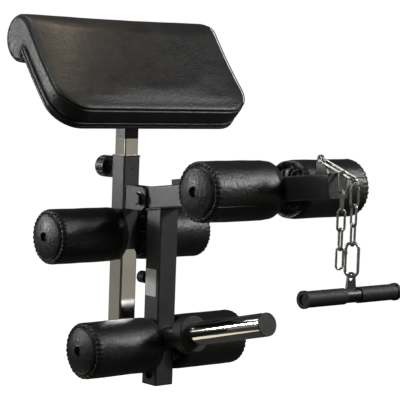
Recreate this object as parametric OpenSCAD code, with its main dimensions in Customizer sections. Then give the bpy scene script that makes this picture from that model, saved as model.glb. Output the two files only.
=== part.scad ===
// Preacher-curl pad and leg-developer attachment for a weight bench.
// X runs left to right, the arm points along -Y, Z is up.
// The origin is the middle of the mounting post's bottom face.

/* [Upright and mounting post] */
// Outer width of the square mounting post and of the upright above it
upright_w = 45; // [44:0.5:46]
// Wall thickness of every square tube
tube_wall = 2.5; // [2:0.5:2.5]
// Length of the chrome mounting post
mount_post_len = 216; // [200:1:225]
// Height of the upright's top edge
upright_top = 426; // [420:1:430]
// Height of the lock knob's axis
knob_z = 398.5; // [396:0.5:402]

/* [Preacher pad] */
// Outer width of the square sliding pad post
pad_post_w = 38; // [36:0.5:38]
// Height where the chrome pad post meets its black neck
neck_z = 466; // [462:1:480]
// Width of the preacher pad
pad_width = 530; // [500:5:560]
// Radius of the pad's gently hollow face
pad_face_r = 1200; // [1200:1:1205]
// Thickness of the pad's cushion
cushion_t = 50; // [46:1:54]
// Thickness of the pad's covered board
board_t = 17; // [14:1:18]
// Radius of the armpit roll along the pad's top edge
roll_r = 54; // [50:1:56]
// Radius of the pad's rounded lower corners
pad_corner_r = 70; // [50:5:80]

/* [Swinging arm] */
// Outer width of the square arm tubes
arm_w = 50; // [50:0.5:51]
// Pitch of the forward bar above level
bar_pitch = 7.125; // [7:0.125:7.25]
// Distance from the pivot to the bar's end
bar_len = 602.5; // [595:0.5:610]
// Height of the pivot bolt
pivot_z = 336; // [335:0.5:337]
// Distance of the pivot in front of the upright's axis
pivot_gap = 76; // [75:0.5:77]
// Distance of the leg's axis in front of the upright's axis
leg_gap = 137; // [136:0.5:138]
// Height of the leg's lower end
leg_bottom = -71; // [-75:1:-65]
// Pitch of the weight horn above level
horn_pitch = 13.3; // [12:0.1:14]
// Diameter of the weight horn's chrome sleeve
horn_d = 50; // [48:0.5:50]
// Length of the weight horn
horn_len = 336; // [320:1:345]

/* [Rollers] */
// Diameter of the foam rollers
roller_d = 122; // [110:1:124]
// Distance from the middle to a roller's outer end
roller_out = 221.6; // [210:0.1:225]
// Distance from the middle to a roller's inner end
roller_in = 31; // [30:0.5:34]
// Diameter of the three axle tubes
axle_d = 25; // [25:0.1:25.4]

/* [Chain and handle] */
// Diameter of the chain's wire
link_wire_d = 4.8; // [4.6:0.1:4.8]
// Distance from one chain link to the next
link_pitch = 37; // [37:0.5:38]
// Length of the straight handle
handle_len = 254; // [240:1:260]
// Outer diameter of the handle's rubber grips
grip_d = 32; // [30:0.5:34]

/* [Hidden] */
$fn = 64;
// Running gap, on the radius, between a shaft and its bore
run_gap = 0.05;
// Gap between pieces of different bodies that lie face to face
part_gap = 0.3;

upright_half = upright_w / 2;
upright_inner = upright_w - 2 * tube_wall;
tube_corner_r = 4;
axle_r = axle_d / 2;
foot_cap_t = 2;
bushing_flange_t = 2.5;
bushing_depth = 46;
pad_post_bottom = 302;
pad_post_wall = 2;
pad_post_corner_r = 3;
screw_r = 5;
screw_tip_y = pad_post_w / 2 + part_gap;

pivot_y = -pivot_gap;
bolt_r = 8;
bushing_outer_r = 11;
tongue_half = 12;
clevis_inner = 12.5;
clevis_t = 6;
clevis_outer = clevis_inner + clevis_t;
clevis_half_h = 26;
clevis_corner_r = 18;
washer_t = 2.5;
bolt_head_t = 10;

leg_y = -leg_gap;
leg_front = leg_y - arm_w / 2;
leg_back = leg_y + arm_w / 2;
cap_t = 4;

axle_b_z = 250;
axle_c_z = 19;
// Distance of the front axle from the pivot, along the bar
axle_a_u = 426.7;
axle_half = 212;
spare_hole_z = -46;
spare_hole_r = axle_r + 0.1;

horn_z = 34.4;
horn_base_len = 70;
horn_collar_end = 102;
horn_collar_r = 41;
horn_wall = 3;
horn_sleeve_end = horn_len - 3;

bumper_z = 160;
bumper_r = 13.5;
bumper_start = -90;
bumper_end = -66;

// Height of the bar's axis over a place in front of the upright
function bar_axis_z(y) = pivot_z + (pivot_y - y) * tan(bar_pitch);
axle_a_y = pivot_y - axle_a_u * cos(bar_pitch);
axle_a_z = pivot_z + axle_a_u * sin(bar_pitch);

// Face of the pad: an arc about pad_centre, from the front angle to the top one
pad_centre_y = -981.5;
pad_centre_z = 1393.4;
pad_front_a = -45.4;
pad_top_a = -34.65;
// The board runs on inside the armpit roll, up to board_top_a
board_top_a = pad_top_a - 1.3;
board_out_r = pad_face_r + cushion_t + board_t;
plate_t = 4;
plate_half = 48;

tab_hole_y = -624;
tab_hole_z = 459;
tab_hole_r = 5.5;
tab_t = 5;
snap_wire_r = 3;
snap_half = 9.3;
snap_pitch = 19;
snap_span = 103.6;
ring_y = -720;
ring_z = 416.9;
ring_r = 7.4;
link_r = link_wire_d / 2;
link_half = 7.2;
// Place on the top snap hook, from its tab end, where the spare strand hangs
tail_s = 76;
tail_x = -snap_half;
tail_y = tab_hole_y - tail_s * cos(snap_pitch);
tail_z = tab_hole_z - tail_s * sin(snap_pitch);
// Turn about Z of each link in a strand, from the top
main_yaw = [-30, 85, 15];
tail_yaw = [-24, 60, -30, 68, -20];
main_top_z = ring_z - ring_r + 2 * link_r + part_gap;
tail_top_z = tail_z + snap_wire_r / cos(snap_pitch) + link_r + 0.6;
// The lower snap hook's bend radius, its height along the wire's middle, and its turn about Z
low_snap_half = 12.5;
low_snap_span = 66;
low_snap_yaw = -55;
// Where each gate starts and ends, below its snap hook's top bend
top_gate = [8.5, 56];
low_gate = [8, 37];
main_bottom_z = main_top_z - len(main_yaw) * link_pitch - 2 * link_r - part_gap;
hook_z = main_bottom_z + snap_wire_r + link_r + part_gap;
eye_z = hook_z - low_snap_span;
eye_hole_r = 7.2;
handle_z = eye_z - 37;

// ---- Shared shapes ----

module rounded_rect(w, d, r) {
    square([w - 2 * r, d], center = true);
    square([w, d - 2 * r], center = true);
    for (sx = [-1, 1], sy = [-1, 1])
        translate([sx * (w / 2 - r), sy * (d / 2 - r)]) circle(r);
}

module tube_section(w, wall, r) {
    difference() {
        rounded_rect(w, w, r);
        rounded_rect(w - 2 * wall, w - 2 * wall, max(r - wall, 0.5));
    }
}

module square_tube(w, wall, r, length) {
    linear_extrude(length) tube_section(w, wall, r);
}

// A cylinder along X, from x0 to x1
module x_rod(r, x0, x1) {
    translate([x0, 0, 0]) rotate([0, 90, 0]) cylinder(h = x1 - x0, r = r);
}

// A cylinder along Y, from y0 to y1
module y_rod(r, y0, y1) {
    translate([0, y0, 0]) rotate([-90, 0, 0]) cylinder(h = y1 - y0, r = r);
}

// Puts +Z along the forward bar, with the pivot at zero
module along_bar() {
    translate([0, pivot_y, pivot_z]) rotate([90 - bar_pitch, 0, 0]) children();
}

// Puts +Z along the weight horn, with zero on the leg's front face
module along_horn() {
    translate([0, leg_front, horn_z]) rotate([90 - horn_pitch, 0, 0]) children();
}

// ---- Frame ----

module mounting_post() {
    color("silver")
    translate([0, 0, foot_cap_t])
    square_tube(upright_w, tube_wall, tube_corner_r, mount_post_len - foot_cap_t);
}

module post_foot_cap() {
    color("dimgray") {
        linear_extrude(foot_cap_t) rounded_rect(upright_w, upright_w, tube_corner_r);
        translate([0, 0, foot_cap_t]) linear_extrude(12) tube_section(upright_inner, 2, 1.5);
    }
}

module upright_tube() {
    color("#222326")
    difference() {
        translate([0, 0, mount_post_len])
        square_tube(upright_w, tube_wall, tube_corner_r, upright_top - mount_post_len);
        translate([0, 0, axle_b_z]) x_rod(axle_r, -upright_w, upright_w);
        translate([0, 0, knob_z]) y_rod(screw_r + 0.5, 0, upright_w);
        translate([0, 0, knob_z]) y_rod(2.5, -upright_w, 0);
    }
}

module sleeve_bushing() {
    slot_w = pad_post_w + 4 * run_gap;
    color("#151515")
    difference() {
        union() {
            translate([0, 0, upright_top - bushing_depth])
            linear_extrude(bushing_depth) rounded_rect(upright_inner, upright_inner, 1.5);
            translate([0, 0, upright_top])
            linear_extrude(bushing_flange_t) rounded_rect(upright_w + 3.5, upright_w + 3.5, 5);
            translate([0, 0, knob_z]) y_rod(2.5, -upright_half + 0.8, -pad_post_w / 2 - run_gap);
        }
        translate([0, 0, upright_top - bushing_depth - 1])
        linear_extrude(bushing_depth + bushing_flange_t + 2)
        rounded_rect(slot_w, slot_w, pad_post_corner_r);
        translate([0, 0, knob_z]) y_rod(screw_r + 0.5, 0, upright_w);
    }
}

module clevis_outline() {
    nose_y = pivot_y - 20.5;
    corner_y = nose_y + clevis_corner_r;
    difference() {
        union() {
            translate([corner_y, -clevis_half_h]) square([-upright_half - corner_y, 2 * clevis_half_h]);
            translate([nose_y, clevis_corner_r - clevis_half_h])
            square([clevis_corner_r, 2 * (clevis_half_h - clevis_corner_r)]);
            for (s = [-1, 1])
                translate([corner_y, s * (clevis_half_h - clevis_corner_r)]) circle(clevis_corner_r);
        }
        translate([pivot_y, 0]) circle(bolt_r);
    }
}

module pivot_clevis() {
    color("#222326")
    for (s = [-1, 1])
        translate([s > 0 ? clevis_inner : -clevis_outer, 0, pivot_z])
        rotate([90, 0, 90]) linear_extrude(clevis_t) clevis_outline();
}

module pivot_bolt() {
    head_x = clevis_outer + washer_t;
    color("#1b1b1c")
    translate([0, pivot_y, pivot_z]) {
        x_rod(bolt_r, -head_x - 0.5, head_x + 16);
        translate([-head_x - bolt_head_t, 0, 0]) rotate([0, 90, 0])
        cylinder(h = bolt_head_t, d = 24 / cos(30), $fn = 6);
    }
}

module pivot_nut() {
    nut_x = clevis_outer + washer_t;
    color("#8a8c8e")
    translate([nut_x, pivot_y, pivot_z]) rotate([0, 90, 0])
    difference() {
        union() {
            cylinder(h = 11, d = 24 / cos(30), $fn = 6);
            cylinder(h = 14, r = 10.5);
        }
        translate([0, 0, -1]) cylinder(h = 17, r = bolt_r);
    }
}

module pivot_washers() {
    color("#8a8c8e")
    for (x = [-clevis_outer - washer_t, clevis_outer])
        translate([x, pivot_y, pivot_z]) rotate([0, 90, 0])
        difference() {
            cylinder(h = washer_t, r = 15);
            translate([0, 0, -1]) cylinder(h = washer_t + 2, r = bolt_r);
        }
}

module knob_boss() {
    color("#222326")
    translate([0, upright_half, knob_z]) rotate([-90, 0, 0])
    difference() {
        cylinder(h = 11, r = 11);
        translate([0, 0, -1]) cylinder(h = 13, r = screw_r + run_gap);
    }
}

// ---- Axles ----

module axle() {
    color("#2a2b2d")
    difference() {
        x_rod(axle_r, -axle_half, axle_half);
        x_rod(axle_r - 2, -axle_half - 1, axle_half + 1);
    }
}

module axle_plugs() {
    color("#101010")
    for (s = [0, 1])
        mirror([s, 0, 0]) {
            x_rod(axle_r - 2, axle_half - 14, axle_half);
            x_rod(axle_r - 1, axle_half, axle_half + 1.5);
        }
}

module axle_a() {
    translate([0, axle_a_y, axle_a_z]) axle();
}

module axle_a_plugs() {
    translate([0, axle_a_y, axle_a_z]) axle_plugs();
}

module axle_b() {
    translate([0, 0, axle_b_z]) axle();
}

module axle_b_plugs() {
    translate([0, 0, axle_b_z]) axle_plugs();
}

module axle_c() {
    translate([0, leg_y, axle_c_z]) axle();
}

module axle_c_plugs() {
    translate([0, leg_y, axle_c_z]) axle_plugs();
}

// ---- Arm ----

module arm_bar() {
    mouth_r = 26;
    color("#222326")
    difference() {
        along_bar() translate([0, 0, 30])
        square_tube(arm_w, tube_wall, tube_corner_r, bar_len - 30 - cap_t);
        along_bar() translate([0, 0, mouth_r]) x_rod(mouth_r, -arm_w, arm_w);
        translate([0, axle_a_y, axle_a_z]) x_rod(axle_r, -arm_w, arm_w);
    }
}

module arm_tongue() {
    plug_half = arm_w / 2 - tube_wall;
    color("#222326")
    along_bar()
    difference() {
        union() {
            translate([-tongue_half, -18, 0]) cube([2 * tongue_half, 36, 62]);
            x_rod(18, -tongue_half, tongue_half);
            translate([-plug_half, -plug_half + 1, 60]) cube([2 * plug_half, 2 * plug_half - 2, 30]);
        }
        x_rod(bushing_outer_r, -arm_w, arm_w);
    }
}

module pivot_bushing() {
    color("#b08d57")
    translate([0, pivot_y, pivot_z])
    difference() {
        x_rod(bushing_outer_r, -tongue_half, tongue_half);
        x_rod(bolt_r + run_gap, -arm_w, arm_w);
    }
}

module arm_leg() {
    color("#222326")
    difference() {
        translate([0, leg_y, leg_bottom + cap_t])
        square_tube(arm_w, tube_wall, tube_corner_r, pivot_z - leg_bottom);
        along_bar() translate([-arm_w, -arm_w / 2, -100]) cube([2 * arm_w, 200, 300]);
        translate([0, leg_y, axle_c_z]) x_rod(axle_r, -arm_w, arm_w);
        translate([0, leg_y, spare_hole_z]) x_rod(spare_hole_r, -arm_w, arm_w);
    }
}

module bar_end_cap() {
    color("#101010")
    along_bar() {
        translate([0, 0, bar_len - cap_t]) linear_extrude(cap_t) rounded_rect(arm_w, arm_w, tube_corner_r);
        translate([0, 0, bar_len - 18]) linear_extrude(15) tube_section(arm_w - 2 * tube_wall, 2.5, 1.5);
    }
}

module leg_end_cap() {
    color("#101010")
    translate([0, leg_y, leg_bottom]) {
        linear_extrude(cap_t) rounded_rect(arm_w, arm_w, tube_corner_r);
        linear_extrude(12) tube_section(arm_w - 2 * tube_wall, 2.5, 1.5);
    }
}

module horn_base() {
    spigot_r = horn_d / 2 - horn_wall;
    color("#222326")
    difference() {
        along_horn() {
            translate([0, 0, -15]) cylinder(h = horn_base_len + 15, r = horn_d / 2);
            translate([0, 0, horn_base_len]) cylinder(h = 90, r = spigot_r);
        }
        translate([-arm_w, leg_front, horn_z - arm_w]) cube([2 * arm_w, arm_w, 2 * arm_w]);
    }
}

module horn_collar() {
    edge_r = 4;
    color("#141414")
    along_horn() translate([0, 0, horn_base_len])
    rotate_extrude() {
        inner_r = horn_d / 2 - horn_wall;
        length = horn_collar_end - horn_base_len;
        translate([inner_r, 0]) square([horn_collar_r - edge_r - inner_r, length]);
        translate([inner_r, edge_r]) square([horn_collar_r - inner_r, length - 2 * edge_r]);
        for (y = [edge_r, length - edge_r])
            translate([horn_collar_r - edge_r, y]) circle(edge_r);
    }
}

module horn_sleeve() {
    color("silver")
    along_horn() translate([0, 0, horn_collar_end])
    difference() {
        cylinder(h = horn_sleeve_end - horn_collar_end, r = horn_d / 2);
        translate([0, 0, -1]) cylinder(h = horn_len, r = horn_d / 2 - horn_wall);
    }
}

module horn_cap() {
    color("#101010")
    along_horn() {
        translate([0, 0, horn_sleeve_end - 12]) cylinder(h = 12, r = horn_d / 2 - horn_wall);
        translate([0, 0, horn_sleeve_end]) cylinder(h = horn_len - horn_sleeve_end, r = horn_d / 2 - 0.5);
    }
}

module buffer_pad() {
    color("#161616")
    along_bar() translate([-15, arm_w / 2, 111]) cube([30, 12, 36]);
}

module bumper_stem() {
    color("#222326")
    translate([0, 0, bumper_z]) y_rod(9, leg_back, bumper_start);
}

module bumper_tip() {
    edge_r = 3;
    length = bumper_end - bumper_start;
    color("#141414")
    translate([0, bumper_start, bumper_z]) rotate([-90, 0, 0])
    rotate_extrude() {
        square([bumper_r, length - edge_r]);
        square([bumper_r - edge_r, length]);
        translate([bumper_r - edge_r, length - edge_r]) circle(edge_r);
    }
}

module chain_tab() {
    base_y = -631;
    base_half = 19;
    apex_r = 8;
    color("#1a1b1c")
    difference() {
        translate([-tab_t / 2, 0, 0]) rotate([90, 0, 90]) linear_extrude(tab_t)
        hull() {
            translate([tab_hole_y, tab_hole_z + 1.5]) circle(apex_r, $fn = 32);
            translate([base_y, bar_axis_z(base_y) + 20]) square([2 * base_half, 1], center = true);
        }
        translate([0, tab_hole_y, tab_hole_z]) x_rod(tab_hole_r, -tab_t, tab_t);
        along_bar() translate([-arm_w, -arm_w / 2, 0]) cube([2 * arm_w, arm_w, bar_len + 100]);
    }
}

// ---- Preacher pad ----

// A point on the pad's section, by its angle and its depth below the face
function pad_point(a, depth) = [pad_centre_y + (pad_face_r + depth) * cos(a),
    pad_centre_z + (pad_face_r + depth) * sin(a)];
function pad_arc(a0, a1, depth, steps) = [for (i = [0:steps]) pad_point(a0 + (a1 - a0) * i / steps, depth)];

module pad_slab(a0, a1, depth0, depth1) {
    polygon(concat(pad_arc(a0, a1, depth0, 14), pad_arc(a1, a0, depth1, 14)));
}

// The armpit roll's outline, from the face round to inside the board
function roll_arc(a0, a1, steps) = [for (i = [0:steps])
    pad_point(pad_top_a, roll_r)
    + roll_r * [cos(pad_top_a + a0 + (a1 - a0) * i / steps), sin(pad_top_a + a0 + (a1 - a0) * i / steps)]];

// Extrudes a section across the width, and trims it to the pad's outline
module pad_body(width, corner_r, front_in) {
    front = pad_point(pad_front_a, 0);
    intersection() {
        translate([-width / 2, 0, 0]) rotate([90, 0, 90]) linear_extrude(width) children();
        translate([0, front[0], front[1]]) rotate([90 + pad_front_a, 0, 0])
        translate([0, front_in, -200]) linear_extrude(400) {
            translate([-width / 2, corner_r]) square([width, 400]);
            translate([-width / 2 + corner_r, 0]) square([width - 2 * corner_r, 400]);
            for (s = [-1, 1])
                translate([s * (width / 2 - corner_r), corner_r]) circle(corner_r);
        }
    }
}

module board_section() {
    pad_slab(pad_front_a, board_top_a, cushion_t, cushion_t + board_t);
}

module pad_cushion() {
    color("#1c1c1e")
    pad_body(pad_width, pad_corner_r, 0)
    difference() {
        polygon(concat(pad_arc(pad_front_a, pad_top_a, 0, 14), roll_arc(176, -86, 70),
            pad_arc(pad_top_a - 2.6, pad_front_a, cushion_t + 4, 14)));
        board_section();
        pad_slab(pad_front_a - 1, pad_front_a, cushion_t, cushion_t + board_t);
    }
}

module pad_board() {
    color("#131313")
    difference() {
        pad_body(pad_width - 4, pad_corner_r, 1) board_section();
        at_pad_bolts() translate([0, 0, -9]) cylinder(h = 30, r = 4);
    }
}

// Puts +Z along each pad bolt, out of the board, with zero on the board's back
module at_pad_bolts() {
    for (a = [-42.1, -38.3], x = [-34, 34])
        translate([0, pad_centre_y, pad_centre_z]) rotate([a, 0, 0])
        translate([x, board_out_r, 0]) rotate([-90, 0, 0]) children();
}

module pad_plate() {
    color("#222326")
    difference() {
        translate([-plate_half, 0, 0]) rotate([90, 0, 90]) linear_extrude(2 * plate_half)
        pad_slab(-42.9, -37.5, cushion_t + board_t, cushion_t + board_t + plate_t);
        at_pad_bolts() translate([0, 0, -1]) cylinder(h = 30, r = 4.25);
    }
}

module pad_bolts() {
    color("#8a8c8e")
    at_pad_bolts() {
        translate([0, 0, -9]) cylinder(h = 9 + plate_t, r = 4);
        translate([0, 0, plate_t]) cylinder(h = 1.6, r = 9);
        translate([0, 0, plate_t + 1.6]) cylinder(h = 5.3, d = 13 / cos(30), $fn = 6);
    }
}

module pad_neck() {
    color("#1d1e20")
    difference() {
        translate([0, 0, neck_z]) square_tube(pad_post_w, pad_post_wall, pad_post_corner_r, 200);
        translate([-pad_post_w, 0, 0]) rotate([90, 0, 90]) linear_extrude(2 * pad_post_w)
        pad_slab(-46, -34, -100, cushion_t + board_t + plate_t);
    }
}

module pad_post() {
    color("silver")
    translate([0, 0, pad_post_bottom])
    square_tube(pad_post_w, pad_post_wall, pad_post_corner_r, neck_z - pad_post_bottom);
}

// ---- Lock knob ----

module knob_grip() {
    grip_r = 25;
    edge_r = 6;
    flutes = 14;
    color("#121212")
    translate([0, 50, knob_z]) rotate([-90, 0, 0])
    difference() {
        union() {
            rotate_extrude() {
                translate([0, 6]) square([grip_r, 32 - edge_r]);
                translate([0, 6]) square([grip_r - edge_r, 32]);
                translate([grip_r - edge_r, 38 - edge_r]) circle(edge_r);
            }
            cylinder(h = 7, r = 15);
        }
        for (i = [0:flutes - 1])
            rotate([0, 0, 360 * i / flutes]) translate([grip_r + 1.2, 0, 10]) cylinder(h = 40, r = 3);
        translate([0, 0, -1]) cylinder(h = 21, r = screw_r);
    }
}

module knob_screw() {
    color("#9a9c9e")
    translate([0, 0, knob_z]) y_rod(screw_r, screw_tip_y, 70);
}

// ---- Rollers ----

module roller_cover() {
    edge_r = 14;
    length = roller_out - roller_in;
    r = roller_d / 2;
    color("#1b1b1d")
    translate([roller_in, 0, 0]) rotate([0, 90, 0])
    difference() {
        rotate_extrude() {
            square([r - edge_r, length]);
            translate([0, edge_r]) square([r, length - 2 * edge_r]);
            for (y = [edge_r, length - edge_r])
                translate([r - edge_r, y]) circle(edge_r);
        }
        translate([0, 0, -1]) cylinder(h = length - 5, r = 16);
        cylinder(h = length + 1, r = 10.5);
    }
}

module roller_core() {
    color("#2b2b2b")
    difference() {
        x_rod(16, roller_in + 0.5, roller_out - 6);
        x_rod(axle_r + run_gap, 0, roller_out);
    }
}

module at_axle_a(s) {
    translate([0, axle_a_y, axle_a_z]) mirror([s, 0, 0]) children();
}

module at_axle_b(s) {
    translate([0, 0, axle_b_z]) mirror([s, 0, 0]) children();
}

module at_axle_c(s) {
    translate([0, leg_y, axle_c_z]) mirror([s, 0, 0]) children();
}

// ---- Chain and handle ----

// A rod between two points of the XY plane
module flat_rod(p, q, r) {
    d = q - p;
    translate([p[0], p[1], 0]) rotate([0, 0, atan2(d[1], d[0])]) rotate([0, 90, 0])
    cylinder(h = norm(d), r = r);
}

// Part of a ring of wire in the XY plane, from angle a0 over a sweep
module wire_arc(ring_r, r, a0, sweep) {
    rotate([0, 0, a0]) rotate_extrude(angle = sweep) translate([ring_r, 0]) circle(r);
}

// A snap hook in the XY plane, its top bend's middle at zero and its bottom bend's drop below,
// with room for a gate on its left, from gate[0] to gate[1] below the top bend
module snap_hook(half, drop, gate) {
    r = snap_wire_r;
    wire_arc(half, r, 0, 180);
    translate([0, -drop, 0]) wire_arc(half, r, 180, 180);
    flat_rod([half, 0], [half, -drop], r);
    difference() {
        union() {
            flat_rod([-half, 0], [-half, -gate[0]], r);
            translate([-half, -gate[0], -r - 0.4]) cylinder(h = 2 * r + 0.8, r = r + 0.5);
        }
        translate([-half - 10, -gate[0] - 10, -1.6]) cube([20, 13.6, 3.2]);
    }
    translate([-half, -gate[0], -r]) cylinder(h = 2 * r, r = 1.2);
    flat_rod([-half, -gate[1]], [-half, -drop], r);
}

// The gate that closes it, hinged on the pin at gate[0]
module snap_gate(half, gate) {
    difference() {
        union() {
            flat_rod([-half, -gate[0] - 4.6], [-half, 0.4 - gate[1]], snap_wire_r - 0.3);
            translate([-half, -gate[0], -1.35]) cylinder(h = 2.7, r = 3);
            intersection() {
                flat_rod([-half, -gate[0]], [-half, -gate[0] - 5], 3);
                translate([-half - 10, -gate[0] - 10, -1.35]) cube([20, 20, 2.7]);
            }
        }
        translate([-half, -gate[0], -5]) cylinder(h = 10, r = 1.2 + run_gap);
    }
}

module at_top_snap() {
    translate([0, tab_hole_y, tab_hole_z]) rotate([snap_pitch, 0, 0])
    translate([0, -snap_half, 0]) children();
}

module at_bottom_snap() {
    translate([0, ring_y, hook_z - low_snap_half]) rotate([0, 0, low_snap_yaw]) rotate([90, 0, 0]) children();
}

// One link in the XZ plane, with the middle of its top bend's wire at zero
module chain_link() {
    straight = link_pitch + 2 * link_r + part_gap - 2 * link_half;
    rotate([90, 0, 0]) translate([0, -link_half, 0]) {
        wire_arc(link_half, link_r, 0, 180);
        translate([0, -straight, 0]) wire_arc(link_half, link_r, 180, 180);
        for (s = [-1, 1])
            flat_rod([s * link_half, 0], [s * link_half, -straight], link_r);
    }
}

// Links hanging from top_z, each turned by its own yaw
module strand(x, y, top_z, yaws) {
    for (i = [0:len(yaws) - 1])
        translate([x, y, top_z - i * link_pitch]) rotate([0, 0, yaws[i]]) chain_link();
}

module top_snap_hook() {
    color("#b9b6a8") {
        at_top_snap() snap_hook(snap_half, snap_span - 2 * snap_half, top_gate);
        translate([0, ring_y, ring_z]) rotate([0, 90, 0])
        rotate_extrude() translate([ring_r, 0]) circle(link_r);
    }
}

module top_snap_gate() {
    color("#c8c5b8")
    at_top_snap() snap_gate(snap_half, top_gate);
}

module chain_main() {
    color("#aeb0ae") strand(0, ring_y, main_top_z, main_yaw);
}

module chain_tail() {
    color("#aeb0ae") strand(tail_x, tail_y, tail_top_z, tail_yaw);
}

module bottom_snap_hook() {
    color("#b9b6a8")
    at_bottom_snap() snap_hook(low_snap_half, low_snap_span - 2 * low_snap_half, low_gate);
}

module bottom_snap_gate() {
    color("#c8c5b8")
    at_bottom_snap() snap_gate(low_snap_half, low_gate);
}

module handle_bar() {
    color("#1c1d1f")
    translate([0, ring_y, handle_z]) {
        x_rod(12.5, 6 - handle_len / 2, handle_len / 2 - 6);
        x_rod(14, -19.5, 19.5);
    }
}

module handle_eye() {
    eye_t = 5;
    color("#1c1d1f")
    difference() {
        translate([0, ring_y + eye_t / 2, 0]) rotate([90, 0, 0]) linear_extrude(eye_t)
        hull() {
            translate([0, eye_z - 1]) circle(10, $fn = 32);
            translate([0, handle_z + 6]) square([27, 2], center = true);
        }
        translate([0, ring_y, eye_z - 1.6]) y_rod(eye_hole_r, -10, 10);
        translate([0, ring_y, handle_z]) x_rod(14, -40, 40);
    }
}

module handle_grip() {
    half = handle_len / 2;
    color("#141414")
    translate([0, ring_y, handle_z])
    difference() {
        union() {
            x_rod(grip_d / 2, 20, half - 3);
            x_rod(grip_d / 2 + 1.5, half - 6, half);
        }
        x_rod(12.5, 0, half - 6);
        x_rod(10, half - 3, half + 1);
    }
}

// ---- Nodes ----

mounting_post();
post_foot_cap();
upright_tube();
sleeve_bushing();
pivot_clevis();
pivot_bolt();
pivot_nut();
pivot_washers();
knob_boss();
axle_b();
axle_b_plugs();
arm_bar();
arm_tongue();
pivot_bushing();
arm_leg();
bar_end_cap();
leg_end_cap();
horn_base();
horn_collar();
horn_sleeve();
horn_cap();
buffer_pad();
bumper_stem();
bumper_tip();
chain_tab();
axle_a();
axle_a_plugs();
axle_c();
axle_c_plugs();
pad_post();
pad_neck();
pad_plate();
pad_board();
pad_cushion();
pad_bolts();
knob_grip();
knob_screw();
at_axle_a(1) roller_cover();  // roller_a_left
at_axle_a(1) roller_core();  // roller_a_left_core
at_axle_a(0) roller_cover();  // roller_a_right
at_axle_a(0) roller_core();  // roller_a_right_core
at_axle_b(1) roller_cover();  // roller_b_left
at_axle_b(1) roller_core();  // roller_b_left_core
at_axle_b(0) roller_cover();  // roller_b_right
at_axle_b(0) roller_core();  // roller_b_right_core
at_axle_c(1) roller_cover();  // roller_c_left
at_axle_c(1) roller_core();  // roller_c_left_core
at_axle_c(0) roller_cover();  // roller_c_right
at_axle_c(0) roller_core();  // roller_c_right_core
top_snap_hook();
top_snap_gate();
chain_main();
chain_tail();
bottom_snap_hook();
bottom_snap_gate();
handle_bar();
handle_eye();
mirror([1, 0, 0]) handle_grip();  // handle_grip_left
handle_grip();  // handle_grip_right
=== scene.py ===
"""Looks for the preacher curl and leg developer attachment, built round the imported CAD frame."""

import math
import random

import bmesh
import bpy
from mathutils import Euler, Matrix, Vector, kdtree, noise


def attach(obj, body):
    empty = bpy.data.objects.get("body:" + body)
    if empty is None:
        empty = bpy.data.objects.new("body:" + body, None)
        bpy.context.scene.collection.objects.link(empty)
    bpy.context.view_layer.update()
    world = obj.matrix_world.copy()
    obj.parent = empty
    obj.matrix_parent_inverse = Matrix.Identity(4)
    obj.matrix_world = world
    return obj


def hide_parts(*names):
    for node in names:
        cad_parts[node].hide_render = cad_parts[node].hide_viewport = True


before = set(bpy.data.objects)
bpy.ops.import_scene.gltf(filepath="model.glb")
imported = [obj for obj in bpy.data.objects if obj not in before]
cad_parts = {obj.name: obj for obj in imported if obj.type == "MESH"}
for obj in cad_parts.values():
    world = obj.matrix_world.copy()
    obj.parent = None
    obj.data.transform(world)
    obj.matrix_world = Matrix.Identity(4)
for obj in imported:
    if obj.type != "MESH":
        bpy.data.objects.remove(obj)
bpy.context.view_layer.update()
MM = 0.001

# Sizes in millimetres, in the row frame: X left to right, -Y forward, Z up
PAD_CENTRE_Y, PAD_CENTRE_Z = -981.5, 1393.4
PAD_R = 1200.0
PAD_FRONT_A, PAD_TOP_A = math.radians(-45.4), math.radians(-34.65)
CUSHION_T = 50.0
ROLL_R = 54.0
PAD_HALF, PAD_CORNER = 265.0, 70.0
PAD_SEAM_DEPTH = 5.0
PAD_CROWN, PAD_CROWN_REACH = 6.0, 24
PAD_GROOVE, PAD_GROOVE_HALF = 3.6, 2.5
BEAD_R, BEAD_PROUD = 4.3, 2.6
ROLLER_R, ROLLER_IN = 61.0, 31.0
ROLLER_HOLE_R = 10.5
ROLLER_SHOULDER = 199.5
CREASE_X, CREASE_R = 207.6, 53.0
PLEATS, FOLDS = 34, 15
AXLES = {"a": (-499.4, 388.9), "b": (0.0, 250.0), "c": (-137.0, 19.0)}
PIVOT_Y, PIVOT_Z = -76.0, 336.0
BAR_PITCH = math.radians(7.125)
BAR_HALF = 25.0
LEG_FRONT, LEG_BACK = -162.0, -112.0

# Where the photograph was taken from: metres, then degrees and millimetres of lens
CAMERA_AT = (-2.2493, -2.9047, 0.6298)
CAMERA_TILT, CAMERA_ROLL, CAMERA_TURN = 85.357, -2.005, -40.238
CAMERA_LENS = 146.38


# ---------------------------------------------------------------- materials


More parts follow.
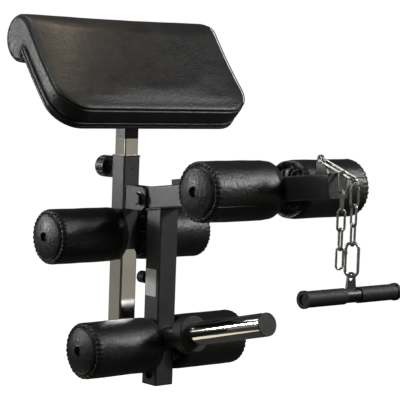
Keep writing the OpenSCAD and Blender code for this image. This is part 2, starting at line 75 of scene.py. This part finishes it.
class Finish:
    """A procedural material while it is put together. Fields are sampled in the row frame, in metres."""

    def __init__(self, name, metallic=0.0, specular=0.5, coat=0.0, coat_rough=0.2):
        self.mat = bpy.data.materials.new(name)
        self.mat.use_nodes = True
        self.tree = self.mat.node_tree
        self.bsdf = self.tree.nodes["Principled BSDF"]
        self.bsdf.inputs["Metallic"].default_value = metallic
        self.bsdf.inputs["Specular IOR Level"].default_value = specular
        self.bsdf.inputs["Coat Weight"].default_value = coat
        self.bsdf.inputs["Coat Roughness"].default_value = coat_rough
        self.coords = self.tree.nodes.new("ShaderNodeTexCoord").outputs["Object"]
        self.normal = None

    def stretch(self, scale):
        node = self.tree.nodes.new("ShaderNodeMapping")
        node.inputs["Scale"].default_value = scale
        self.tree.links.new(self.coords, node.inputs["Vector"])
        return node.outputs["Vector"]

    def noise(self, scale, detail=3.0, rough=0.5, coords=None):
        node = self.tree.nodes.new("ShaderNodeTexNoise")
        node.inputs["Scale"].default_value = scale
        node.inputs["Detail"].default_value = detail
        node.inputs["Roughness"].default_value = rough
        self.tree.links.new(coords or self.coords, node.inputs["Vector"])
        return node.outputs["Fac"]

    def cells(self, scale, feature="F1"):
        node = self.tree.nodes.new("ShaderNodeTexVoronoi")
        node.feature = feature
        node.inputs["Scale"].default_value = scale
        self.tree.links.new(self.coords, node.inputs["Vector"])
        return node.outputs["Distance"]

    def remap(self, factor, low, high, start=0.3, end=0.7):
        node = self.tree.nodes.new("ShaderNodeMapRange")
        for name, value in zip(("From Min", "From Max", "To Min", "To Max"), (start, end, low, high)):
            node.inputs[name].default_value = value
        self.tree.links.new(factor, node.inputs["Value"])
        return node.outputs["Result"]

    def colour(self, factor, dark, light, start=0.3, end=0.7):
        node = self.tree.nodes.new("ShaderNodeValToRGB")
        ramp = node.color_ramp
        ramp.elements[0].position, ramp.elements[1].position = start, end
        ramp.elements[0].color, ramp.elements[1].color = (*dark, 1), (*light, 1)
        self.tree.links.new(factor, node.inputs["Fac"])
        self.tree.links.new(node.outputs["Color"], self.bsdf.inputs["Base Color"])

    def roughness(self, factor, low, high, start=0.3, end=0.7):
        self.tree.links.new(self.remap(factor, low, high, start, end), self.bsdf.inputs["Roughness"])

    def bump(self, height, distance, strength=1.0):
        node = self.tree.nodes.new("ShaderNodeBump")
        node.inputs["Distance"].default_value = distance
        node.inputs["Strength"].default_value = strength
        self.tree.links.new(height, node.inputs["Height"])
        if self.normal:
            self.tree.links.new(self.normal, node.inputs["Normal"])
        self.normal = node.outputs["Normal"]
        self.tree.links.new(self.normal, self.bsdf.inputs["Normal"])


def powder_coat():
    f = Finish("finish_powder_coat", specular=0.5)
    f.colour(f.noise(28, 4), (0.023, 0.023, 0.024), (0.036, 0.036, 0.037))
    f.roughness(f.noise(60, 5, 0.6), 0.34, 0.47)
    f.bump(f.noise(900, 2), 0.00006)
    f.bump(f.noise(170, 2), 0.00012)
    return f.mat


def vinyl(name, dark, light, rough_low, rough_high, waves, grain=(105, 0.0011)):
    """waves is how high the soft waves are, and grain the fine grain's scale and height, in metres."""
    f = Finish(name, specular=0.42)
    f.colour(f.noise(18, 5, 0.6), dark, light)
    f.roughness(f.noise(85, 5, 0.65), rough_low, rough_high)
    f.bump(f.noise(38, 2, 0.5), waves)
    f.bump(f.noise(grain[0], 3, 0.62), grain[1])
    f.bump(f.noise(330, 2, 0.6), 0.00022)
    f.bump(f.cells(760), 0.0001)
    return f.mat


def chrome():
    f = Finish("finish_chrome", metallic=1.0)
    f.colour(f.noise(9, 3), (0.62, 0.61, 0.59), (0.74, 0.73, 0.71))
    f.roughness(f.noise(1.0, 4, 0.7, f.stretch((420, 420, 40))), 0.05, 0.10)
    f.bump(f.noise(14, 1), 0.0004)
    return f.mat


def zinc():
    f = Finish("finish_zinc", metallic=1.0)
    f.colour(f.noise(140, 4, 0.6), (0.36, 0.36, 0.34), (0.62, 0.61, 0.57))
    f.roughness(f.noise(260, 3), 0.24, 0.42)
    f.bump(f.noise(500, 3), 0.00008)
    return f.mat


def rubber():
    f = Finish("finish_rubber", specular=0.35)
    f.colour(f.noise(40, 4), (0.008, 0.008, 0.008), (0.016, 0.016, 0.0155))
    f.roughness(f.noise(120, 4, 0.6), 0.50, 0.68)
    f.bump(f.noise(650, 3, 0.6), 0.00012)
    return f.mat


def plastic():
    f = Finish("finish_plastic", specular=0.5)
    f.colour(f.noise(30, 3), (0.009, 0.009, 0.010), (0.017, 0.017, 0.018))
    f.roughness(f.noise(90, 4), 0.30, 0.44)
    f.bump(f.cells(1100), 0.00005)
    return f.mat


def bronze():
    f = Finish("finish_bronze", metallic=1.0)
    f.colour(f.noise(150, 4), (0.28, 0.17, 0.09), (0.45, 0.30, 0.17))
    f.roughness(f.noise(200, 3), 0.32, 0.5)
    f.bump(f.noise(700, 3), 0.00006)
    return f.mat


def satin_steel():
    f = Finish("finish_satin_steel", metallic=0.85)
    f.colour(f.noise(120, 4, 0.6), (0.018, 0.018, 0.018), (0.036, 0.036, 0.035))
    f.roughness(f.noise(1.0, 4, 0.7, f.stretch((30, 600, 600))), 0.30, 0.46)
    f.bump(f.noise(500, 3), 0.00005)
    return f.mat


def label_foil():
    f = Finish("finish_label", metallic=0.0)
    f.colour(f.noise(220, 4, 0.6), (0.62, 0.62, 0.61), (0.80, 0.80, 0.79))
    f.roughness(f.noise(300, 3), 0.38, 0.52)
    f.bump(f.noise(300, 2), 0.00004)
    return f.mat


POWDER, CHROME, ZINC = powder_coat(), chrome(), zinc()
RUBBER, PLASTIC, BRONZE, LABEL, SATIN = rubber(), plastic(), bronze(), label_foil(), satin_steel()
PAD_VINYL = vinyl(
    "finish_pad_vinyl", (0.010, 0.0098, 0.0095), (0.021, 0.0203, 0.0193), 0.34, 0.50, 0.0001, (150, 0.0009)
)
ROLLER_VINYL = vinyl("finish_roller_vinyl", (0.005, 0.005, 0.005), (0.011, 0.011, 0.011), 0.31, 0.47, 0.0005)
# Near-black vinyl, darker than the covers: painted shade for the pad's seam groove and the rollers' creases.
SEAM_SHADE_VINYL = vinyl("finish_seam_vinyl_painted_shade", (0.002, 0.002, 0.002), (0.005, 0.005, 0.005), 0.45, 0.6, 0.0002)

BY_PREFIX = (
    ("mounting_post", CHROME), ("pad_post", CHROME), ("horn_sleeve", CHROME),
    ("post_foot_cap", PLASTIC), ("sleeve_bushing", PLASTIC), ("bar_end_cap", PLASTIC),
    ("leg_end_cap", PLASTIC), ("horn_cap", PLASTIC), ("axle_a_plugs", PLASTIC), ("axle_b_plugs", PLASTIC),
    ("axle_c_plugs", PLASTIC), ("knob_grip", PLASTIC), ("horn_collar", RUBBER), ("buffer_pad", RUBBER),
    ("bumper_tip", RUBBER), ("handle_grip", RUBBER), ("pivot_bushing", BRONZE),
    ("pivot_bolt", PLASTIC), ("pivot_nut", ZINC), ("pivot_washers", ZINC), ("knob_screw", ZINC),
    ("pad_bolts", ZINC), ("top_snap", ZINC), ("bottom_snap", ZINC), ("chain_main", ZINC),
    ("chain_tail", ZINC), ("handle_bar", SATIN), ("handle_eye", POWDER),
    ("roller_", PLASTIC), ("pad_board", PAD_VINYL), ("pad_cushion", PAD_VINYL),
)


def paint(obj, mat):
    if not obj.data.materials:
        obj.data.materials.append(mat)
    for slot in obj.material_slots:
        slot.link = "OBJECT"
        slot.material = mat


def soften(obj):
    """Rounds a steel part's sharp edges by 0.7 mm, as a coat of powder does."""
    bevel = obj.modifiers.new("soften", "BEVEL")
    bevel.width, bevel.segments = 0.0007, 2
    bevel.limit_method, bevel.angle_limit = "ANGLE", math.radians(50)


for node_name, node_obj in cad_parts.items():
    finish = next((m for prefix, m in BY_PREFIX if node_name.startswith(prefix)), POWDER)
    paint(node_obj, finish)
    if finish is POWDER:
        soften(node_obj)


# ---------------------------------------------------------------- mesh helpers


def mesh_piece(name, verts_mm, faces, mat, body, smooth=True):
    mesh = bpy.data.meshes.new(name)
    mesh.from_pydata([Vector(v) * MM for v in verts_mm], [], faces)
    mesh.validate()
    bm = bmesh.new()
    bm.from_mesh(mesh)
    bmesh.ops.recalc_face_normals(bm, faces=bm.faces)
    bm.to_mesh(mesh)
    bm.free()
    obj = bpy.data.objects.new(name, mesh)
    bpy.context.scene.collection.objects.link(obj)
    mesh.materials.append(mat)
    for polygon in mesh.polygons:
        polygon.use_smooth = smooth
    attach(obj, body)
    return obj


def smoothstep(a, b, x):
    t = min(1.0, max(0.0, (x - a) / (b - a)))
    return t * t * (3 - 2 * t)


def grid_faces(rows, cols, closed_cols=True, closed_rows=False):
    faces = []
    for i in range(rows if closed_rows else rows - 1):
        for j in range(cols if closed_cols else cols - 1):
            a, b = i * cols + j, i * cols + (j + 1) % cols
            c, d = ((i + 1) % rows) * cols + (j + 1) % cols, ((i + 1) % rows) * cols + j
            faces.append((a, b, c, d))
    return faces


def tube_mesh(path, radius, sides=10, closed=False, ripple=0.0, pitch=3.0):
    """Vertices and faces of a tube along path. radius is a number or a function of the distance along it."""
    points = [Vector(p) for p in path]
    count = len(points)
    verts, run = [], 0.0
    normal = None
    for i, p in enumerate(points):
        ahead = points[(i + 1) % count] if closed or i < count - 1 else p
        behind = points[i - 1] if closed or i > 0 else p
        tangent = (ahead - behind).normalized()
        if normal is None:
            normal = tangent.orthogonal().normalized()
        normal = (normal - tangent * normal.dot(tangent)).normalized()
        side = tangent.cross(normal)
        if i:
            run += (p - points[i - 1]).length
        r = radius(run) if callable(radius) else radius
        r *= 1 + ripple * math.sin(2 * math.pi * run / pitch)
        for k in range(sides):
            a = 2 * math.pi * k / sides
            verts.append(p + (normal * math.cos(a) + side * math.sin(a)) * r)
    faces = grid_faces(count, sides, True, closed)
    if not closed:
        faces.append(tuple(range(sides)))
        faces.append(tuple(range((count - 1) * sides, count * sides)))
    return verts, faces


def dense(path, step, closed=False):
    """The same path with points every step."""
    out = []
    pairs = list(zip(path, path[1:] + path[:1])) if closed else list(zip(path, path[1:]))
    for a, b in pairs:
        a, b = Vector(a), Vector(b)
        n = max(1, round((b - a).length / step))
        out += [a.lerp(b, k / n) for k in range(n)]
    if not closed:
        out.append(Vector(path[-1]))
    return out


# ---------------------------------------------------------------- foam rollers


def roller_profile():
    """Points (x, r, gather, pleat) from the inner hole over the body to the outer hole."""
    points = [(37.0, 12.9, 0, 0), (34.0, 13.3, 0.1, 0)]
    for r in (14.5, 16.5, 19, 22, 25, 28, 31, 34, 37, 40, 43):
        points.append((31.6 + 1.2 * ((r - 30) / 15) ** 2, r, 1, 0))
    for k in range(1, 12):
        a = math.radians(90 * k / 12)
        points.append((ROLLER_IN + 16.5 * (1 - math.sin(a)), 44.5 + 16.5 * (1 - math.cos(a)), 1 - k / 12, 0))
    points = points[:13] + sorted(points[13:], key=lambda p: p[1])
    for k in range(33):
        x = 48.5 + 151 * k / 32
        points.append((x, ROLLER_R, 0, 0.3 * smoothstep(192, ROLLER_SHOULDER, x)))
    for k in range(1, 9):
        a = math.radians(78 * k / 8)
        x, r = ROLLER_SHOULDER + 10.5 * math.sin(a), ROLLER_R - 7.0 * (1 - math.cos(a))
        points.append((x, r, 0, 0.3 + 0.7 * k / 8))
    points += [(209.6, 54.6, 0, 0.9), (207.4, 53.8, 0, 0.7), (204.6, 53.0, 0, 0.3)]
    points += [(206.6, 51.6, 0, 0.2), (209.6, 50.8, 0, 0)]
    for k in range(1, 15):
        r = 50.2 - (50.2 - 12.2) * k / 14
        points.append((211.0 + 10.2 * (1 - (r / 52.0) ** 2), r, 0, 0))
    points += [(221.1, 11.3, 0, 0), (220.3, 10.7, 0, 0)]
    points += [(218.5, ROLLER_HOLE_R, 0, 0), (212.5, ROLLER_HOLE_R, 0, 0)]
    return points


def roller_cover(name, side, axle, seam_deg, seed):
    """A vinyl sleeve gathered at both ends round a foam roller, with a lengthways seam and a dark ring of
    painted shade laid in the crease.
    """
    rnd = random.Random(seed)
    cy, cz = AXLES[axle]
    seam = math.radians(seam_deg)
    angles = sorted(
        [2 * math.pi * k / 252 for k in range(252)]
        + [(seam + math.radians(d)) % (2 * math.pi) for d in (-1.05, -0.55, -0.2, 0.2, 0.55, 1.05)]
    )
    strength = [rnd.uniform(0.55, 1.25) for _ in range(PLEATS)]
    fold_size = [rnd.uniform(0.5, 1.2) for _ in range(FOLDS)]
    shift = rnd.uniform(0, 50)
    profile = roller_profile()
    verts = []
    for x, r, gather, pleat in profile:
        for a in angles:
            turn = a / (2 * math.pi)
            wobble = 0.35 * noise.noise(Vector((math.cos(a) * 2, math.sin(a) * 2, shift)))
            dx = dr = 0.0
            if pleat:
                at = turn * PLEATS + wobble
                ridge = abs(math.sin(math.pi * at)) ** 0.7 - 0.6
                dr += pleat * 2.6 * ridge * strength[int(at) % PLEATS]
                dx += pleat * 1.6 * ridge * strength[int(at) % PLEATS]
            if gather:
                at = turn * FOLDS + wobble * 2 + 0.018 * r
                ridge = abs(math.sin(math.pi * at)) ** 0.8 - 0.75
                dx -= gather * 6.5 * ridge * fold_size[int(at) % FOLDS] * smoothstep(12, 24, r)
            if 45 < x < 206 and r > 52:
                off = math.atan2(math.sin(a - seam), math.cos(a - seam)) * ROLLER_R
                dr -= 1.1 * math.exp(-((off / 0.55) ** 2)) - 0.25 * math.exp(-(((abs(off) - 1.6) / 0.8) ** 2))
                soft = noise.noise(Vector((x * 0.022 + shift, math.cos(a) * 1.6, math.sin(a) * 1.6)))
                dr += 0.8 * soft - 0.3
            if x > 209 and r < 50:
                dx += 0.5 * noise.noise(Vector((r * 0.05 * math.cos(a), r * 0.05 * math.sin(a), shift)))
            px = max(x + dx, ROLLER_IN - 1.8)
            verts.append((side * px, cy - (r + dr) * math.cos(a), cz + (r + dr) * math.sin(a)))
    faces = grid_faces(len(profile), len(angles))
    tag = "left" if side < 0 else "right"
    body = f"roller_{axle}_{tag}"
    obj = mesh_piece(name, verts, faces, ROLLER_VINYL, body)
    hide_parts(body)
    # A thin near-black tube laid round the crease: a ring of painted shade, not a part of the cover.
    crease_shade = []
    for k in range(120):
        a = math.radians(3 * k)
        crease_shade.append((side * CREASE_X, cy - CREASE_R * math.cos(a), cz + CREASE_R * math.sin(a)))
    tube_verts, tube_faces = tube_mesh(crease_shade, 1.5, 8, True)
    mesh_piece(f"crease_{axle}_{tag}", tube_verts, tube_faces, SEAM_SHADE_VINYL, body)


SEAMS = {("a", -1): -24, ("a", 1): 25, ("b", -1): 200, ("b", 1): 215, ("c", -1): 190, ("c", 1): 235}
for number, ((axle_name, side_sign), seam_angle) in enumerate(SEAMS.items()):
    tag_name = "left" if side_sign < 0 else "right"
    roller_cover(f"cover_{axle_name}_{tag_name}", side_sign, axle_name, seam_angle, 40 + number)


# ---------------------------------------------------------------- arm pad


def pad_point(x, t, depth):
    """A point t along the tangent at the pad's front edge and depth behind the face's arc."""
    w = math.sqrt((PAD_R + depth) ** 2 - t * t) - PAD_R
    ca, sa = math.cos(PAD_FRONT_A), math.sin(PAD_FRONT_A)
    reach = PAD_R + w
    return Vector((x, PAD_CENTRE_Y + reach * ca - t * sa, PAD_CENTRE_Z + reach * sa + t * ca))


T_TOP = (PAD_R + 2) * math.sin(PAD_TOP_A - PAD_FRONT_A)
ROLL_CENTRE = Vector((
    0,
    PAD_CENTRE_Y + (PAD_R + ROLL_R) * math.cos(PAD_TOP_A),
    PAD_CENTRE_Z + (PAD_R + ROLL_R) * math.sin(PAD_TOP_A),
))


def outline(half, corner, top):
    """Plan outline of the pad from the top left end, down, round the front and up.

    Each point is (x, t, outward x, outward t).
    """
    left = [(-half, top + (corner - top) * k / 26, -1.0, 0.0) for k in range(26)]
    for k in range(11):
        a = math.radians(90 * k / 10)
        c, s = math.cos(a), math.sin(a)
        left.append((-half + corner * (1 - c), corner * (1 - s), -c, -s))
    flat = [(-half + corner + 2 * (half - corner) * k / 30, 0.0, 0.0, -1.0) for k in range(1, 30)]
    return left + flat + [(-x, t, -ox, ot) for x, t, ox, ot in reversed(left)]


def inflate(obj, hold, pressure, cap):
    """Blows a closed mesh up a little with Cloth.

    hold(v) is how firmly a vertex is held, 0 to 1, and cap how far one may move.
    """
    group = obj.vertex_groups.new(name="hold")
    rest = [v.co.copy() for v in obj.data.vertices]
    for v in obj.data.vertices:
        group.add([v.index], hold(v.co), "REPLACE")
    cloth = obj.modifiers.new("cloth", "CLOTH")
    settings = cloth.settings
    settings.quality = 4
    settings.mass = 0.25
    settings.tension_stiffness = settings.compression_stiffness = 12
    settings.shear_stiffness = 6
    settings.bending_stiffness = 2.5
    settings.use_pressure = True
    settings.uniform_pressure_force = pressure
    settings.vertex_group_mass = "hold"
    settings.effector_weights.gravity = 0
    cloth.point_cache.frame_start, cloth.point_cache.frame_end = 1, 20
    scene = bpy.context.scene
    for f in range(1, 21):
        scene.frame_set(f)
    moved = obj.evaluated_get(bpy.context.evaluated_depsgraph_get()).to_mesh()
    new = [v.co.copy() for v in moved.vertices]
    obj.modifiers.remove(cloth)
    scene.frame_set(1)
    for v, a, b in zip(obj.data.vertices, rest, new):
        d = b - a
        v.co = a + d * min(1.0, cap / max(d.length, 1e-9))


def pad_local(co):
    """(t, depth) of a point, in millimetres: t along the front tangent and depth behind the face."""
    y, z = co.y / MM - PAD_CENTRE_Y, co.z / MM - PAD_CENTRE_Z
    ca, sa = math.cos(PAD_FRONT_A), math.sin(PAD_FRONT_A)
    return -y * sa + z * ca, math.hypot(y, z) - PAD_R


def pad_cover():
    """The cushion: its CAD shape shrunk, remeshed and blown up with Cloth, then seamed."""
    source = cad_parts["pad_cushion"]
    mesh = source.data.copy()
    obj = bpy.data.objects.new("pad_cover", mesh)
    bpy.context.scene.collection.objects.link(obj)
    mesh.transform(source.matrix_world)
    bm = bmesh.new()
    bm.from_mesh(mesh)
    bmesh.ops.remove_doubles(bm, verts=bm.verts, dist=1e-5)
    bm.to_mesh(mesh)
    bm.free()
    bpy.context.view_layer.objects.active = obj
    obj.select_set(True)
    remesh = obj.modifiers.new("remesh", "REMESH")
    remesh.mode = "VOXEL"
    remesh.voxel_size = 0.0045
    bpy.ops.object.modifier_apply(modifier="remesh")
    smooth = obj.modifiers.new("smooth", "SMOOTH")
    smooth.factor, smooth.iterations = 0.5, 6
    bpy.ops.object.modifier_apply(modifier="smooth")
    line = [p * MM for p in face_seam(PAD_SEAM_DEPTH, 0.0)]
    tree = kdtree.KDTree(len(line))
    for i, p in enumerate(line):
        tree.insert(p, i)
    tree.balance()

    def hold(co):
        t, depth = pad_local(co)
        near_seam = 1 - smoothstep(0.006, 0.030, tree.find(co)[2])
        under = smoothstep(40, 48, depth) if t < 250 else 0.0
        return max(near_seam, under)

    inflate(obj, hold, 3.0, 0.007)
    relax = obj.modifiers.new("relax", "SMOOTH")
    relax.factor, relax.iterations = 0.5, 14
    bpy.ops.object.modifier_apply(modifier="relax")
    divide = obj.modifiers.new("divide", "SUBSURF")
    divide.levels = divide.render_levels = 1
    bpy.ops.object.modifier_apply(modifier="divide")
    normals = [v.normal.copy() for v in obj.data.vertices]
    for v, n in zip(obj.data.vertices, normals):
        d = tree.find(v.co)[2] / MM
        t, depth = pad_local(v.co)
        if depth < 40:
            inward = Vector((0, PAD_CENTRE_Y * MM - v.co.y, PAD_CENTRE_Z * MM - v.co.z)).normalized()
            v.co -= inward * MM * PAD_CROWN * math.exp(-d / PAD_CROWN_REACH) * smoothstep(40, 4, depth)
        if d < 9:
            v.co -= n * MM * PAD_GROOVE * math.exp(-((d / PAD_GROOVE_HALF) ** 2))
        ripple = noise.noise(v.co * 26) * 0.9 + noise.noise(v.co * 9) * 1.1
        v.co += n * MM * 0.28 * ripple * smoothstep(4, 20, d)
        if abs(v.co.x) > 0.255:
            dy, dz = v.co.y / MM - ROLL_CENTRE.y, v.co.z / MM - ROLL_CENTRE.z
            reach = math.hypot(dy, dz)
            if reach < 62 and dy > -12:
                a = math.atan2(dz, dy)
                tuck = MM * 1.1 * math.sin(a * 5 + 1.6 * math.sin(a * 2)) * smoothstep(26, 48, reach)
                v.co.x += math.copysign(tuck, v.co.x)
    for polygon in obj.data.polygons:
        polygon.use_smooth = True
    obj.data.materials.clear()
    obj.data.materials.append(PAD_VINYL)
    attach(obj, "pad_carriage")
    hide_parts("pad_cushion")


def face_seam(depth, proud, step=2.0):
    """Centre line of the seam between face and side band, from one roll end round the front to the other."""
    left = []
    for k in range(60):
        a = PAD_TOP_A + math.radians(-74 + (180 + 74) * k / 60)
        left.append(Vector((
            -PAD_HALF - proud,
            ROLL_CENTRE.y + (ROLL_R - depth) * math.cos(a),
            ROLL_CENTRE.z + (ROLL_R - depth) * math.sin(a),
        )))
    rim = outline(PAD_HALF, PAD_CORNER, T_TOP)
    rim = [pad_point(x + proud * ox, t + proud * ot, depth) for x, t, ox, ot in rim]
    right = [Vector((-p.x, p.y, p.z)) for p in reversed(left)]
    return dense([*left, *rim, *right], step)


def pad_backboard():
    """The covered board: vinyl wrapped over two beads round its edge."""
    steps = []
    for k in range(9):
        a = math.pi * k / 8
        steps.append((CUSHION_T + BEAD_R - BEAD_R * math.cos(a), BEAD_PROUD * math.sin(a)))
    for k in range(9):
        a = math.pi * k / 8
        steps.append((CUSHION_T + 3 * BEAD_R - 4.2 * math.cos(a), BEAD_PROUD * math.sin(a) + 0.2))
    rim = outline(PAD_HALF - 4.5, PAD_CORNER - 4, T_TOP + 30)
    verts, cols = [], len(steps)
    for x, t, ox, ot in rim:
        for depth, out in steps:
            verts.append(pad_point(x + ox * out, t + ot * out + 1.5, depth))
    faces = grid_faces(len(rim), cols, False)
    count = len(rim)
    for i in range(count // 2 - 1):
        a, b, c, d = i, i + 1, count - 2 - i, count - 1 - i
        faces.append((a * cols, b * cols, c * cols, d * cols))
        faces.append(tuple(q * cols + cols - 1 for q in (a, b, c, d)))
    faces.append(tuple(range(cols)) + tuple(range((count - 1) * cols + cols - 1, (count - 1) * cols - 1, -1)))
    obj = mesh_piece("pad_backboard", verts, faces, PAD_VINYL, "pad_carriage")
    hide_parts("pad_board")


pad_cover()
pad_backboard()
# Welt piping in the seam groove: real piping, made in the near-black vinyl as painted shade of the groove.
seam_verts, seam_faces = tube_mesh(face_seam(5.6, -3.0), 1.3, 8)
mesh_piece("pad_seam_piping_shade", seam_verts, seam_faces, SEAM_SHADE_VINYL, "pad_carriage")


# ---------------------------------------------------------------- weld beads, label


def weld(name, path, body, radius=2.6, closed=False):
    verts, faces = tube_mesh(dense(path, 1.0, closed), radius, 8, closed, ripple=0.16, pitch=3.4)
    mesh_piece(name, verts, faces, POWDER, body)


def ring(x, y, z, r, axis, tilt=0.0, steps=60):
    """A circle about the X or Y axis; tilt leans a Y ring's height to follow a pitched tube."""
    out = []
    for k in range(steps):
        a = 2 * math.pi * k / steps
        c, s = r * math.cos(a), r * math.sin(a)
        out.append((x, y + c, z + s) if axis == "x" else (x + c, y, z + s / math.cos(tilt)))
    return out


def bar_under(y):
    """Height of the bar's underside."""
    return PIVOT_Z + (PIVOT_Y - y) * math.tan(BAR_PITCH) - BAR_HALF / math.cos(BAR_PITCH)


weld("weld_leg", [
    (-25, LEG_BACK, bar_under(LEG_BACK)), (-25, LEG_FRONT, bar_under(LEG_FRONT)),
    (25, LEG_FRONT, bar_under(LEG_FRONT)), (25, LEG_BACK, bar_under(LEG_BACK)),
], "arm", closed=True)
for sign, tag_name in ((-1, "left"), (1, "right")):
    weld(f"weld_clevis_{tag_name}", [(sign * 18.5, -22.8, 312), (sign * 18.5, -22.8, 360)], "frame")
    weld(f"weld_axle_a_{tag_name}", ring(sign * 25.4, *AXLES["a"], 13.2, "x"), "arm", 2.2, True)
    weld(f"weld_axle_b_{tag_name}", ring(sign * 22.9, *AXLES["b"], 13.2, "x"), "frame", 2.2, True)
    weld(f"weld_axle_c_{tag_name}", ring(sign * 25.4, *AXLES["c"], 13.2, "x"), "arm", 2.2, True)
weld("weld_horn", ring(0, LEG_FRONT - 0.4, 34.4, 25.6, "y", math.radians(13.3)), "arm", 2.6, True)
weld("weld_bumper", ring(0, LEG_BACK + 0.4, 160, 9.8, "y"), "arm", 2.0, True)
weld("weld_boss", ring(0, 22.9, 398.5, 11.6, "y"), "frame", 1.8, True)


def blank_label():
    """A blank foil sticker with rounded corners on the leg's left face."""
    y0, y1, z0, z1, r = -152.0, -116.0, 126.0, 186.0, 2.5
    edge = []
    corners = ((y1 - r, z1 - r, 0), (y0 + r, z1 - r, 90), (y0 + r, z0 + r, 180), (y1 - r, z0 + r, 270))
    for cy, cz, start in corners:
        for k in range(6):
            a = math.radians(start + 18 * k)
            edge.append((cy + r * math.cos(a), cz + r * math.sin(a)))
    n = len(edge)
    verts = [(-24.98, y, z) for y, z in edge] + [(-25.22, y, z) for y, z in edge]
    faces = [tuple(range(n)), tuple(range(2 * n - 1, n - 1, -1))]
    faces += [(k, (k + 1) % n, n + (k + 1) % n, n + k) for k in range(n)]
    mesh_piece("blank_label", verts, faces, LABEL, "arm", smooth=False)


blank_label()


# ---------------------------------------------------------------- stage, lights, camera


def aim(light, location, target):
    obj = bpy.data.objects.new(light.name, light)
    bpy.context.scene.collection.objects.link(obj)
    obj.location = location
    obj.rotation_euler = (Vector(target) - Vector(location)).to_track_quat("-Z", "Y").to_euler()
    return obj


def area(name, location, target, size, power, colour=(1, 1, 1), size_y=None):
    light = bpy.data.lights.new(name, "AREA")
    light.shape = "RECTANGLE"
    light.size, light.size_y = size, size_y or size
    light.energy = power
    light.color = colour
    aim(light, location, target).visible_camera = False


def spot(name, location, target, cone_deg, power):
    light = bpy.data.lights.new(name, "SPOT")
    light.spot_size, light.spot_blend = math.radians(cone_deg), 0.35
    light.shadow_soft_size = 0.3
    light.energy = power
    aim(light, location, target)


def glow(name, near, far):
    """A pale stage material that glows by near close to the object and far beyond it; a near below far is a
    painted shade round the object.
    """
    mat = bpy.data.materials.new(name)
    mat.use_nodes = True
    tree = mat.node_tree
    bsdf = tree.nodes["Principled BSDF"]
    bsdf.inputs["Base Color"].default_value = (0.3, 0.3, 0.3, 1)
    bsdf.inputs["Roughness"].default_value = 1.0
    bsdf.inputs["Specular IOR Level"].default_value = 0.0
    bsdf.inputs["Emission Color"].default_value = (1, 1, 1, 1)
    length = tree.nodes.new("ShaderNodeVectorMath")
    length.operation = "LENGTH"
    spread = tree.nodes.new("ShaderNodeMapRange")
    spread.interpolation_type = "SMOOTHSTEP"
    for socket, value in zip(("From Min", "From Max", "To Min", "To Max"), (0.5, 1.5, near, far)):
        spread.inputs[socket].default_value = value
    coords = tree.nodes.new("ShaderNodeTexCoord")
    tree.links.new(coords.outputs["Object"], length.inputs[0])
    tree.links.new(length.outputs["Value"], spread.inputs["Value"])
    tree.links.new(spread.outputs["Result"], bsdf.inputs["Emission Strength"])
    return mat


def stage_piece(name, bm, mat, z=0.0):
    """A piece of the stage that only the camera sees."""
    mesh = bpy.data.meshes.new(name)
    bm.to_mesh(mesh)
    bm.free()
    obj = bpy.data.objects.new(name, mesh)
    bpy.context.scene.collection.objects.link(obj)
    obj.location.z = z
    mesh.materials.append(mat)
    obj.visible_diffuse = obj.visible_glossy = obj.visible_transmission = obj.visible_shadow = False


sphere = bmesh.new()
bmesh.ops.create_uvsphere(sphere, u_segments=64, v_segments=32, radius=11)
stage_piece("backdrop", sphere, glow("stage_white", 1.0, 1.0))
disc = bmesh.new()
bmesh.ops.create_circle(disc, cap_ends=True, segments=96, radius=10.5)
# The floor's glow is lower near the object: a painted shade round it.
stage_piece("floor", disc, glow("stage_floor", 0.78, 1.0), z=-0.42)

world = bpy.data.worlds.new("studio")
bpy.context.scene.world = world
world.use_nodes = True
world.node_tree.nodes["Background"].inputs["Color"].default_value = (1.0, 0.97, 0.93, 1)
world.node_tree.nodes["Background"].inputs["Strength"].default_value = 0.05
bpy.context.scene.view_settings.view_transform = "Standard"

area("light_left", (-2.9, 1.3, 0.95), (0, -0.05, 0.35), 1.5, 15)
spot("spot_back_left", (-2.3, 2.5, 0.78), (-0.1, -0.2, 0.40), 13.2, 235)
area("light_top", (-0.6, 0.1, 2.5), (0, -0.1, 0.4), 1.4, 24)
area("light_warm", (-0.03, -0.06, 1.02), (-0.25, 0.04, 0.69), 0.14, 0.52, (1.0, 0.80, 0.56))
area("light_pad_edge", (1.52, -1.25, 1.92), (0, -0.2, 0.55), 0.2, 7)
area("light_front_right", (1.95, -2.05, 1.6), (0, -0.2, 0.4), 0.62, 55)
area("light_edges", (-2.6, -3.0, 1.1), (0, -0.1, 0.3), 0.35, 7)
area("card_back_left", (-2.0, 2.9, 0.1), (0, 0, 0.3), 2.2, 2.4, (1.0, 0.97, 0.80), size_y=1.6)
area("card_front_right", (2.3, -2.7, 0.0), (0, 0, 0.3), 2.4, 3.2, (1.0, 0.95, 0.78), size_y=1.4)
area("card_back_top", (-0.5, 2.7, 1.35), (0, -0.3, 0.1), 1.8, 10, size_y=0.35)
area("card_low", (-0.5, 1.6, -1.6), (0, -0.3, 0.1), 2.0, 4, (1.0, 0.93, 0.70), size_y=0.6)

camera = bpy.data.cameras.new("camera")
camera.lens, camera.sensor_width = CAMERA_LENS, 36
camera.clip_end = 60
camera_obj = bpy.data.objects.new("camera", camera)
bpy.context.scene.collection.objects.link(camera_obj)
camera_angles = Euler([math.radians(angle) for angle in (CAMERA_TILT, CAMERA_ROLL, CAMERA_TURN)])
camera_obj.matrix_world = Matrix.LocRotScale(Vector(CAMERA_AT), camera_angles, None)
bpy.context.scene.camera = camera_obj
